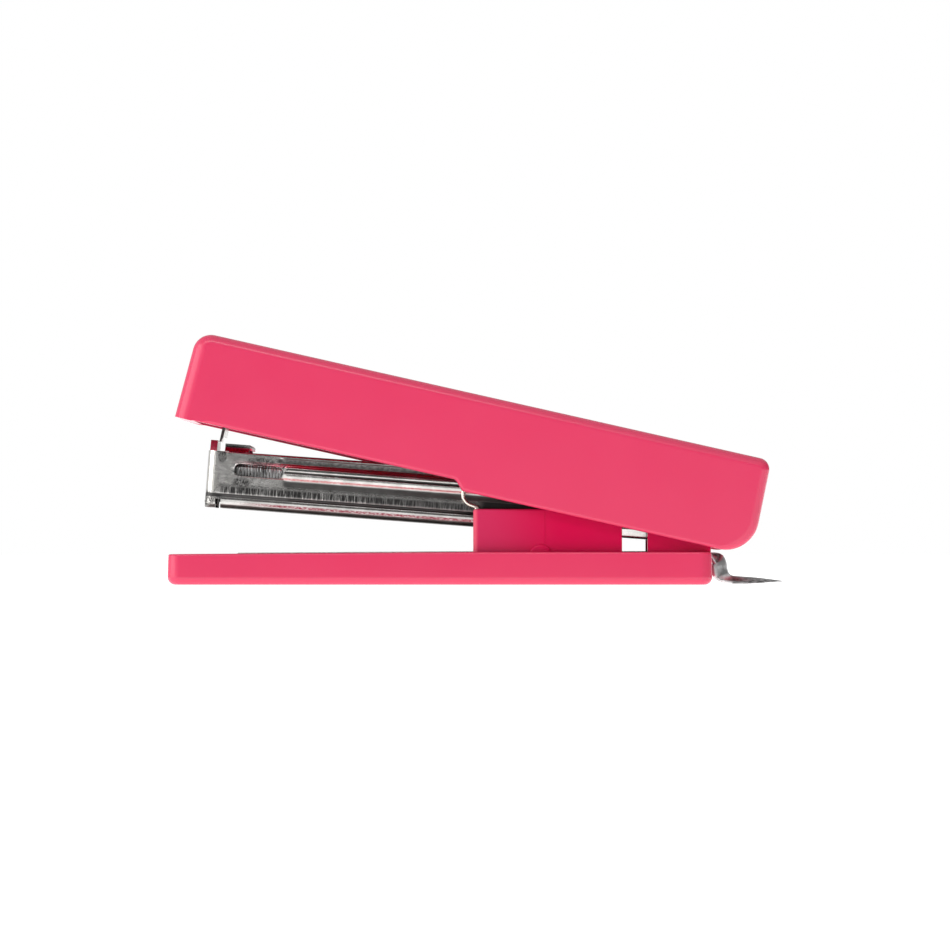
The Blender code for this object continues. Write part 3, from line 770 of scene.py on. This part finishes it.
def build_return_spring():
    """The wire's coil and handle leg turn with the handle; its short foot stays on the base."""
    reach = 39.3
    low = -7.95
    rise = 6.0
    turn_steps = 24
    hook = [(-46.5, 4.6), (-45.3, 1.8), (-44.1, -0.8), (-43.35, -3.2), (-43.05, -4.9), (-42.98, -5.7),
            (-42.78, -6.45), (-42.25, -7.03), (-41.6, -7.34), (-40.9, -7.43), (-40.2, -7.58), (-reach, low)]
    path = [(x, RETURN_LEG_Y, z) for x, z in hook]
    path += [(x, RETURN_LEG_Y, low + rise * (x + reach) / reach) for x in (-30.0, -20.0, -10.0, -4.0)]
    for step in range(turn_steps + 1):
        angle = math.radians(-100 + 360 * step / turn_steps)
        along_pin = RETURN_LEG_Y + RETURN_LAY * step / turn_steps
        path.append((RETURN_COIL * math.cos(angle), along_pin, RETURN_COIL * math.sin(angle)))
    wire = make_object("return_spring_wire", swept(smooth_path(path, 6), RETURN_WIRE, 16), "handle")
    finish_piece(wire, "handle", ["return_spring"], WIRE, 0)
    foot_y = RETURN_LEG_Y + RETURN_LAY
    foot = smooth_path([(41.45, foot_y, 9.32), (36.8, foot_y, 8.3), (31.2, foot_y, 6.35),
                        (29.9, foot_y + 0.45, 6.15), (29.7, foot_y + 0.95, 6.15)], 10)
    piece = make_object("return_spring_foot", swept(foot, RETURN_WIRE, 16))
    finish_piece(piece, "base", [], WIRE, 0)


# ---- base

def rim_height(x):
    """The tray's rim rises from its front end to the saddle, and is level from there."""
    return RIM_FRONT + (RIM_REAR - RIM_FRONT) * share_past(x, TRAY_FRONT, RIM_LEVEL_FROM - TRAY_FRONT)


def tray_ring(inset, height):
    """The tray's plan, drawn in by inset, at the height that a function of x gives."""
    corner = max(0.5, 2.2 - inset)
    low_x = TRAY_FRONT + inset
    high_x = TRAY_REAR - inset
    half = COVER_HALF - inset
    outline = filleted([(low_x, -half, corner), (RIM_LEVEL_FROM, -half, 0), (high_x, -half, corner),
                        (high_x, half, corner), (RIM_LEVEL_FROM, half, 0), (low_x, half, corner)], 9)
    return [(x, y, height(x)) for x, y in outline]


def build_tray():
    """An open shell with rounded edges, a notch behind for the claw, and ribs under the plate."""
    edge = 1.3
    rim_edge = 0.35
    draft = 0.12
    wall = 1.25
    floor = 1.3
    rings = [tray_ring(inset, lambda x: level) for level, inset in quarter_round(edge, 8)]
    rings += [tray_ring(draft + inset, lambda x: rim_height(x) - drop)
              for inset, drop in quarter_round(rim_edge, 4)]
    rings += [tray_ring(wall, rim_height), tray_ring(wall + 0.15, lambda x: rim_height(x) - 0.15),
              tray_ring(wall + 0.25, lambda x: floor)]
    tray = make_object("base_tray_shell", loft(rings))
    notch_half = 3.9
    notch = filleted([(-notch_half, 4.35, 0.6), (notch_half, 4.35, 0.6), (notch_half, 8.0, 0),
                      (-notch_half, 8.0, 0)], 4)
    cut(tray, [prism(notch, 36.4, 40.5, "X")])
    rib_half = 0.6
    for x in (-34.0, -20.0, -6.0):
        join(tray, [block((x - rib_half, x + rib_half), (-9.8, 9.8), (0.8, 4.0))])
    finish_piece(tray, "base", ["base_tray"], PINK, 0.12, 38)


def build_saddle():
    """The upright walls around the magazine: a rounded block, hollowed and windowed, with a
    shallow step along each side and a small ejector boss by it."""
    front = SADDLE_FRONT
    rear = SADDLE_REAR
    half = SADDLE_HALF
    edge = 0.35
    bottom = 1.7
    floor = 2.7
    plan = filleted([(front, -half, 0.85), (rear, -half, 0.6), (rear, half, 0.6), (front, half, 0.85)], 8)
    rings = [[(*point, bottom) for point in plan]]
    for inset, drop in quarter_round(edge, 4):
        shrink = 1 - 2 * inset / (rear - front)
        rings.append([(front + inset + (x - front) * shrink, y * (1 - inset / half), SADDLE_TOP - drop)
                      for x, y in plan])
    saddle = make_object("pivot_saddle_walls", loft(rings))
    window_front, window_rear = 24.2, 28.4
    window_low, window_high = 5.3, 10.6
    far_wider = 0.5
    window = filleted([(window_front, window_low, 0.1), (window_rear, window_low, 0.1),
                       (window_rear, window_high, 0.5), (window_front, window_high, 0.5)], 4)
    middle = (window_front + window_rear) / 2
    far_window = [(x + far_wider if x > middle else x, z) for x, z in window]
    behind = 45.0
    cutters = [
        block((-5.0, behind), (-SADDLE_INNER_HALF, SADDLE_INNER_HALF), (floor, 20.0)),
        prism(window, -12.0, 5.0),
        prism(far_window, 5.0, 12.0),
        block((37.0, behind), (-12.0, 12.0), (0.0, RIM_REAR - 0.05)),
    ]
    cut(saddle, cutters)
    step_depth = 0.08
    boss_x, boss_z = 10.8, 5.3
    boss_long, boss_high = 1.75, 1.35
    for side in (-1, 1):
        low, high = sorted((side * (half - step_depth), side * (half + 1.0)))
        cut(saddle, [block((11.5, 37.9), (low, high), (0.0, 20.0))])
        rings = []
        for reach, out in ((1.0, -0.5), (1.0, 0.08), (0.94, 0.24), (0.84, 0.33), (0.6, 0.38)):
            y = side * (half + out)
            rings.append([(boss_x + boss_long * reach * x, y, boss_z + boss_high * reach * z)
                          for x, z in circle(0, 0, 1, 40)])
        join(saddle, [loft(rings)])
    finish_piece(saddle, "base", ["pivot_saddle"], SHADED_PINK, 0.1, 38)


def build_remover():
    """A claw pressed from sheet: each cross section is arched, and it narrows to its tip."""
    spine = smooth_path([(34.2, 0, 5.28), (36.0, 0, 5.3), (39.4, 0, 5.34), (40.8, 0, 5.2), (41.65, 0, 4.6),
                         (42.05, 0, 3.6), (42.2, 0, 2.6), (42.45, 0, 1.9), (43.0, 0, 1.5), (44.2, 0, 1.36),
                         (46.5, 0, 1.2), (49.0, 0, 0.92), (51.2, 0, 0.62)], 6)
    count = len(spine)
    across = 14
    tray_end = 39.1
    knee = 42.9
    blade_length = 8.3
    above_floor = 0.12
    rings = []
    for index, point in enumerate(spine):
        ahead = (spine[min(index + 1, count - 1)] - spine[max(index - 1, 0)]).normalized()
        normal = Vector((-ahead.z, 0, ahead.x))
        past_tray = share_past(point.x, tray_end, 1.3)
        past_knee = share_past(point.x, knee, blade_length)
        half = 3.45 * (1 - 0.55 * past_knee ** 1.5)
        gauge = 0.5 * (1 - 0.7 * past_knee)
        neck_depth = past_tray * (2.0 - 1.15 * share_past(-point.z, -2.1, 0.7))
        blade_depth = (point.z - gauge - above_floor) * (1 - past_knee ** 3)
        on_blade = share_past(point.x, knee - 0.3, 0.6)
        depth = neck_depth + (blade_depth - neck_depth) * on_blade
        row = []
        for step in range(across + 1):
            share = 2 * step / across - 1
            row.append(point + Vector((0, share * half, 0)) - normal * depth * abs(share) ** 2.4)
        rings.append(row + [at - normal * gauge for at in reversed(row)])
    claw = make_object("staple_remover_claw", loft(rings))
    finish_piece(claw, "base", ["staple_remover"], CLAW, 0.07, 50)


def build_base_plate():
    """The steel plate over the base. It steps down under the anvil, narrows between the saddle's
    walls, and carries two ears for the pin and a slot that the return spring's hook dips into."""
    gauge = 0.8
    top = 5.55
    front = -48.8
    front_top = 4.2
    step_front, step_rear = -40.0, -39.0
    rear = 37.1
    half = 9.3
    waist_front = -1.2
    waist_half = 6.4
    slot_front = -2.9
    slot_half = 8.4
    through = (3.0, 8.0)
    beyond = 45.0
    upper = [(front, front_top), (step_front, front_top), (step_rear, rim_height(step_rear) + 0.15),
             (RIM_LEVEL_FROM, top), (rear, top)]
    lower = [(x, z - gauge) for x, z in reversed(upper)]
    plate = make_object("base_plate_sheet", prism(upper + lower, -half, half))
    cuts = [block((waist_front, beyond), (waist_half, 12.0), through),
            block((waist_front, beyond), (-12.0, -waist_half), through),
            block((slot_front, 0.0), (-slot_half, -waist_half), through)]
    cut(plate, cuts)
    ear_inner = 5.8
    ear_floor = 5.8
    ear = [(31.0, top - 0.5), (rear, top - 0.5), (rear, ear_floor), (38.3, ear_floor)]
    ear += arc(PIN_X, PIN_Z, EAR_RADIUS, -135, 100, 24) + [(35.0, 12.4)]
    join(plate, [prism(ear, -waist_half, -ear_inner), prism(ear, ear_inner, waist_half)])
    holes = [prism(circle(PIN_X, PIN_Z, PIN_HOLE), -8.0, 8.0),
             block((33.0, beyond), (-4.3, 4.3), (3.0, 7.0))]
    holes += [prism(circle(x, y, RIVET_HOLE), 2.5, 7.5, "Z")
              for x, y in (*ANVIL_RIVETS, (LIFT_RIVET, 0.0), (REMOVER_RIVET, 0.0))]
    cut(plate, holes)
    finish_piece(plate, "base", ["base_plate"], NICKEL, 0.1, 32)


def build_anvil():
    """The anvil plate, with a curved pocket on each side that turns the staple's leg inward."""
    front, rear = -48.6, -40.3
    half = 7.4
    corner = 1.0
    outline = filleted([(front, -half, corner), (rear, -half, corner), (rear, half, corner),
                        (front, half, corner)], 6)
    anvil = make_object("anvil_plate", prism(outline, 4.5, 5.0, "Z"))
    pocket_y = 2.65
    pocket_floor = 4.72
    pocket_radius = 7.1
    cutters = []
    for side, (rivet_x, rivet_y) in zip((-1, 1), ANVIL_RIVETS):
        pocket = circle(side * pocket_y, pocket_floor + pocket_radius, pocket_radius, 120)
        cutters.append(prism(pocket, -43.95, -42.55, "X"))
        cutters.append(prism(circle(rivet_x, rivet_y, RIVET_HOLE), 3.0, 7.0, "Z"))
    cut(anvil, cutters)
    finish_piece(anvil, "base", ["anvil"], NICKEL, 0.06, 32)


def build_lift_spring():
    """The leaf that lifts the magazine: it bends between its rivet and its crowned tip."""
    half = 2.6
    gauge = 0.33
    bend_from = 15.5
    tip = 2.4
    crown = 8.8
    upper = smooth_path([(21.3, 0, 6.15), (LIFT_RIVET, 0, 6.15), (bend_from, 0, 6.17), (12.0, 0, 6.75),
                         (8.5, 0, 7.6), (5.4, 0, 8.45), (3.6, 0, crown), (tip, 0, crown), (1.5, 0, 8.5)], 5)
    section = ((-half, 0.0), (half, 0.0), (half, gauge), (-half, gauge))
    rings = [[(point.x, y, point.z - drop) for y, drop in section] for point in upper]
    leaf = make_object("lift_spring_leaf", loft(rings))
    cut(leaf, [prism(circle(LIFT_RIVET, 0.0, RIVET_HOLE), 4.0, 8.0, "Z")])
    leaf.data.materials.append(STEEL)
    soften(leaf, 0, SMOOTH_ANGLE)
    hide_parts("lift_spring")
    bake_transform(leaf)


# ---- magazine

WALL_PROFILE = (
    # height and relief behind the window, from the top edge down
    (CHANNEL_RIM, -0.16), (4.85, -0.04), (4.66, 0.0), (4.4, 0.0), (4.18, -0.2), (3.85, -0.24),
    (3.35, -0.24), (2.95, -0.04), (2.6, 0.14), (2.3, 0.17), (2.02, 0.16), (1.98, 0.04), (1.76, 0.03),
    (1.7, 0.14), (1.3, 0.14), (1.05, 0.12), (0.55, -0.1), (0.3, -0.13), (-0.2, -0.06), (-0.6, 0.0),
    (-2.1, 0.0), (-2.35, -0.1), (-2.5, -0.22), (-2.68, -0.12), (-2.95, 0.08), (-3.3, 0.12),
    (-3.6, 0.08), (-4.8, -0.1),
)
FRONT_PROFILE = (
    # the same beside and in front of the window
    (CHANNEL_RIM, -0.16), (4.85, -0.04), (4.66, 0.0), (-2.1, 0.0), (-2.35, -0.06), (-2.5, -0.14),
    (-2.68, -0.06), (-2.95, 0.06), (-3.3, 0.1), (-3.6, 0.06), (-4.8, -0.1),
)


def ramp(value, low, high):
    """0 up to low, 1 from high on, and smooth in between."""
    share = share_past(value, low, high - low)
    return share * share * (3 - 2 * share)


def along_profile(profile, z):
    for (high, above), (low, below) in zip(profile, profile[1:]):
        if z >= low:
            return below + (above - below) * ramp(z, low, high)
    return profile[-1][1]


def side_relief(x, z):
    """How far the magazine's side wall stands out from, or sinks below, its flat face."""
    from_front = x - CHANNEL_FRONT
    start = 12.0 if z > 3.1 else 12.35 + 0.3 * abs(z - 1.8)
    rib = ramp(from_front, start, start + 0.8) * ramp(-x, 18.0, 24.0)
    plain = along_profile(FRONT_PROFILE, z) * ramp(from_front, 2.0, 3.4)
    ribbed = along_profile(WALL_PROFILE, z)
    return (plain + (ribbed - plain) * rib) * ramp(-x, 5.0, 9.0)


def channel_heights():
    """Heights up the side wall, closer together where the relief changes."""
    spans = ((CHANNEL_BOTTOM, -3.7, 9), (-3.7, -2.0, 22), (-2.0, 0.4, 8), (0.4, SQUEEZED_ABOVE, 36),
             (SQUEEZED_ABOVE, 4.15, 4), (4.15, CHANNEL_RIM, 11))
    heights = []
    for low, high, steps in spans:
        heights += [low + (high - low) * step / steps for step in range(steps)]
    return heights + [CHANNEL_RIM]


def channel_stations():
    """Places along the channel, each with how far its round front corner is tucked in there."""
    corner = 1.6
    stations = [(CHANNEL_FRONT + back, tuck) for back, tuck in quarter_round(corner, 8)]
    stations += [(CHANNEL_FRONT + corner + 0.6 * step, 0.0) for step in range(1, 14)]
    stations += [(CHANNEL_FRONT + 9.7 + 0.15 * step, 0.0) for step in range(1, 41)]
    rear_stations = (-68, -66, -62, -56, -48, -40, -32, -26, -24, -22, -20, -18, -14, -11, -9, -7, -5, -4)
    return stations + [(x, 0.0) for x in rear_stations]


def channel_ring(x, tuck, heights):
    """The channel's solid cross section at x, whose top edge rises slightly to the rear."""
    rise = (CHANNEL_TOP_REAR - CHANNEL_TOP_FRONT) * (x - CHANNEL_FRONT) / 80.0
    squeeze = (CHANNEL_TOP_FRONT + rise - SQUEEZED_ABOVE) / (CHANNEL_RIM - SQUEEZED_ABOVE)
    bottom_corner = 0.9 - 0.55 * ramp(x, -32.0, -26.0)
    wall = []
    for z in heights:
        y = CHANNEL_HALF - tuck + side_relief(x, z)
        over = max(0.0, bottom_corner - (z - CHANNEL_BOTTOM))
        y -= bottom_corner - math.sqrt(max(0.0, bottom_corner ** 2 - over ** 2))
        level = z if z < SQUEEZED_ABOVE else SQUEEZED_ABOVE + (z - SQUEEZED_ABOVE) * squeeze
        wall.append((y, level))
    return [(x, y, z) for y, z in wall] + [(x, -y, z) for y, z in reversed(wall)]


def channel_cutters():
    """Everything cut out of the channel: its inside, front window, floor slots and pin hole."""
    floor = CHANNEL_BOTTOM + 0.7
    above_floor = floor + 0.5
    below = -6.0
    past_rear = 6.0
    across = 8.0
    inner = CHANNEL_INNER_HALF
    inner_front = CHANNEL_FRONT + 0.7
    window_front = CHANNEL_FRONT + 4.55
    window_rear = CHANNEL_FRONT + 12.1
    window_low, window_high = 0.78, 2.82
    window = filleted([(window_front, window_low, 0.95), (window_rear, window_low, 0.2),
                       (window_rear + 0.85, (window_low + window_high) / 2, 0.0),
                       (window_rear, window_high, 0.2), (window_front, window_high, 0.95)], 6)
    cavity = filleted([(inner_front, -inner, 0.9), (past_rear, -inner, 0), (past_rear, inner, 0),
                       (inner_front, inner, 0.9)], 5)
    return [
        prism(cavity, floor, 3.6, "Z"),
        block((CHANNEL_FRONT + 1.4, past_rear), (-inner, inner), (3.4, 9.0)),
        block((CHANNEL_FRONT + 1.3, CHANNEL_FRONT + 2.6), (-4.6, 4.6), (below, above_floor)),
        block((-4.6, past_rear), (-inner, inner), (below, above_floor)),
        block((-25.4, -19.8), (-2.2, 2.2), (below, above_floor)),
        prism(window, -across, across),
        block((CHANNEL_FRONT + 1.75, CHANNEL_FRONT + 2.65), (-across, across), (below, -3.2)),
        prism(circle(0, 0, PIN_HOLE), -across, across),
    ]


def build_channel():
    """The channel, lofted with its ribs, and its ears for the pin, front tab and curl."""
    heights = channel_heights()
    rings = [channel_ring(x, tuck, heights) for x, tuck in channel_stations()]
    channel = make_object("magazine_channel_body", loft(rings), "magazine")
    ear_front = -6.5
    ear_low = CHANNEL_BOTTOM + 0.25
    ear = [(ear_front, ear_low), (CHANNEL_REAR, ear_low)]
    ear += arc(0, 0, EAR_RADIUS, -125, 100, 24) + [(ear_front, 4.6)]
    tab_front, tab_rear = 0.2, 1.35
    tab = loft([[(CHANNEL_FRONT + x, y, z) for x, y in
                 ((tab_front, -half), (tab_rear, -half), (tab_rear, half), (tab_front, half))]
                for half, z in ((3.9, 3.6), (3.9, 4.7), (3.35, 6.45))])
    curl_radius = 0.72
    curl = circle(CHANNEL_FRONT + curl_radius, -3.82, curl_radius, 28)
    join(channel, [prism(ear, -CHANNEL_HALF, CHANNEL_HALF), tab, prism(curl, -4.7, 4.7)], "magazine")
    cut(channel, channel_cutters(), "magazine")
    finish_piece(channel, "magazine", ["magazine_channel"], MAGAZINE_PLATE, 0.07, 42)


def build_hold_down():
    """The pressed bridge over the magazine's front end, with a tongue down onto the staples."""
    front = CHANNEL_FRONT + 2.75
    rear = CHANNEL_FRONT + 6.75
    top = 5.98
    foot = 4.72
    half_section = [(5.45, foot), (4.7, 5.55), (5.0, 5.66), (5.0, top)]
    arch = [(-4.9, foot), (-4.3, 5.4), (4.3, 5.4), (4.9, foot)]
    section = [(-5.45, foot)] + arch + half_section + [(-y, z) for y, z in reversed(half_section[1:])]
    bridge = make_object("staple_hold_down_bridge", prism(section, front, rear, "X"), "magazine")
    hook = filleted([(rear - 0.6, top, 0), (rear - 0.6, 5.6, 0), (rear + 0.05, 5.5, 0.1),
                     (rear + 0.1, 5.1, 0), (rear + 0.4, 5.1, 0), (rear + 0.42, 5.7, 0.2),
                     (rear + 0.05, top, 0.2)], 5)
    tongue = block((front + 2.1, front + 3.3), (-2.2, 2.2), (CROWN_TOP + 0.3, 5.7))
    join(bridge, [prism(hook, -4.6, 4.6), tongue], "magazine")
    finish_piece(bridge, "magazine", ["staple_hold_down"], BRIDGE_PLATE, 0.07, 32)


def build_staples():
    """Fifty separate staples, lightly glued side by side, each standing very slightly askew."""
    pitch = 0.52
    wire = 0.25
    leg_y = 4.1
    crown_z = CROWN_TOP - wire
    corner = 0.5
    foot_z = CROWN_TOP - LEG_LENGTH
    crown = arc(-(leg_y - corner), crown_z - corner, corner, 180, 90, 4)
    crown += arc(leg_y - corner, crown_z - corner, corner, 90, 0, 4)
    staples = []
    for index in range(50):
        x = STRIP_FRONT + pitch / 2 + pitch * index
        lean = 0.05 * math.sin(index * 2.7)
        path = [(x + lean, -leg_y, foot_z), (x, -leg_y, 0.0)]
        path += [(x, y, z) for y, z in crown]
        path += [(x, leg_y, 0.0), (x + lean, leg_y, foot_z)]
        staples.append(swept(path, wire - 0.03 * (index % 3), 8, 0.8, (1, 0, 0)))
    strip = make_object("staples", together(staples), "magazine")
    finish_piece(strip, "magazine", ["staple_strip"], STAPLE_WIRE, 0)


def build_pusher_spring():
    """A coil from the pusher back to the rod's foot."""
    front = STRIP_FRONT + 33.0
    rear = -9.0
    radius = 0.95
    turns = 15
    per_turn = 20
    path = []
    for step in range(turns * per_turn + 1):
        x = front + (rear - front) * (step / (turns * per_turn))
        angle = 2 * math.pi * step / per_turn
        path.append((x, radius * math.cos(angle), SPRING_Z + radius * math.sin(angle)))
    spring = make_object("pusher_spring_coil", swept(path, 0.2, 10), "magazine")
    finish_piece(spring, "magazine", ["pusher_spring"], WIRE, 0)
    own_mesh(spring)


# ---- stage

SURROUND_LIGHT = 0.62
WHITE = (1, 1, 1, 1)
OBJECT_MIDDLE = (0, 0, 0.02)


def stage_block(name, x, y, z, grey, glow=0.0, hidden=True):
    """A card or the floor: a matt block that lights or shades the object."""
    card = make_object(name, block(x, y, z))
    look = bpy.data.materials.new(name)
    look.use_nodes = True
    set_inputs(look.node_tree.nodes["Principled BSDF"], Base_Color=(grey, grey, grey, 1), Roughness=1.0,
               Specular_IOR_Level=0.0, Emission_Color=WHITE, Emission_Strength=glow)
    card.data.materials.append(look)
    card.visible_camera = not hidden


def build_surround():
    """White behind the object for the camera, and a dimmer white as light."""
    world = bpy.data.worlds.new("surround")
    world.use_nodes = True
    tree = world.node_tree
    dim = tree.nodes["Background"]
    set_inputs(dim, Color=WHITE, Strength=SURROUND_LIGHT)
    white = tree.nodes.new("ShaderNodeBackground")
    set_inputs(white, Color=WHITE, Strength=1.0)
    rays = tree.nodes.new("ShaderNodeLightPath")
    choose = tree.nodes.new("ShaderNodeMixShader")
    tree.links.new(rays.outputs["Is Camera Ray"], choose.inputs["Fac"])
    tree.links.new(dim.outputs["Background"], choose.inputs[1])
    tree.links.new(white.outputs["Background"], choose.inputs[2])
    tree.links.new(choose.outputs["Shader"], tree.nodes["World Output"].inputs["Surface"])
    bpy.context.scene.world = world


def build_stage():
    """A white floor, and three cards that the camera doesn't see: they keep the reflections dark
    in front and on the right, and soft above."""
    stage_block("floor", (-3000, 3000), (-3000, 3000), (-12.0, -0.02), 0.5, glow=1.15, hidden=False)
    stage_block("card_front", (-450, 900), (-1000, -990), (-5, 420), 0.06)
    stage_block("card_right", (500, 510), (-500, 500), (-5, 400), 0.1)
    stage_block("card_above", (-200, 500), (-450, 500), (500, 510), 0.3, glow=0.34)


def add_aimed(name, data, place, aim):
    """A lamp or a camera at place, turned towards aim."""
    made = add_object(name, data)
    made.location = place
    made.rotation_euler = (Vector(aim) - Vector(place)).to_track_quat("-Z", "Y").to_euler()
    return made


def add_area_light(name, place, size, power):
    light = bpy.data.lights.new(name, "AREA")
    light.shape = "RECTANGLE"
    light.size = size[0]
    light.size_y = size[1]
    light.energy = power
    add_aimed(name, light, place, OBJECT_MIDDLE)


def build_camera():
    """A long lens level with the base, a little above the floor and 600 mm away."""
    camera = bpy.data.cameras.new("camera")
    camera.sensor_width = 36
    camera.lens = 136.0
    camera.clip_start = 0.01
    eye = BASE_ORIGIN + Vector((0.0, -0.6, 0.0057))
    target = BASE_ORIGIN + Vector((0.0, -COVER_HALF * MM, 0.01803))
    bpy.context.scene.camera = add_aimed("camera", camera, eye, target)
    bpy.context.scene.view_settings.view_transform = "Standard"


build_camera()
build_surround()
build_stage()
add_area_light("soft_left", (-0.95, -0.3, 0.28), size=(0.9, 0.6), power=3.4)
add_area_light("soft_front", (-0.25, -0.85, 0.75), size=(0.9, 0.22), power=2.4)
build_cover()
build_driver()
build_return_spring()
build_tray()
build_saddle()
build_remover()
build_base_plate()
build_anvil()
build_lift_spring()
build_channel()
build_hold_down()
build_staples()
build_pusher_spring()
for node_look, node_edge, node_names in (
    (STEEL, 0.08, "anvil_rivet_near anvil_rivet_far staple_rail spring_rod"),
    (STEEL, 0.12, "pivot_pin lift_spring_rivet remover_rivet driver_rivet_front driver_rivet_rear"),
    (DARK_STEEL, 0.12, "pusher"),
    (NICKEL, 0.1, "handle_frame"),
):
    for node_name in node_names.split():
        dress_node(node_name, node_look, node_edge)
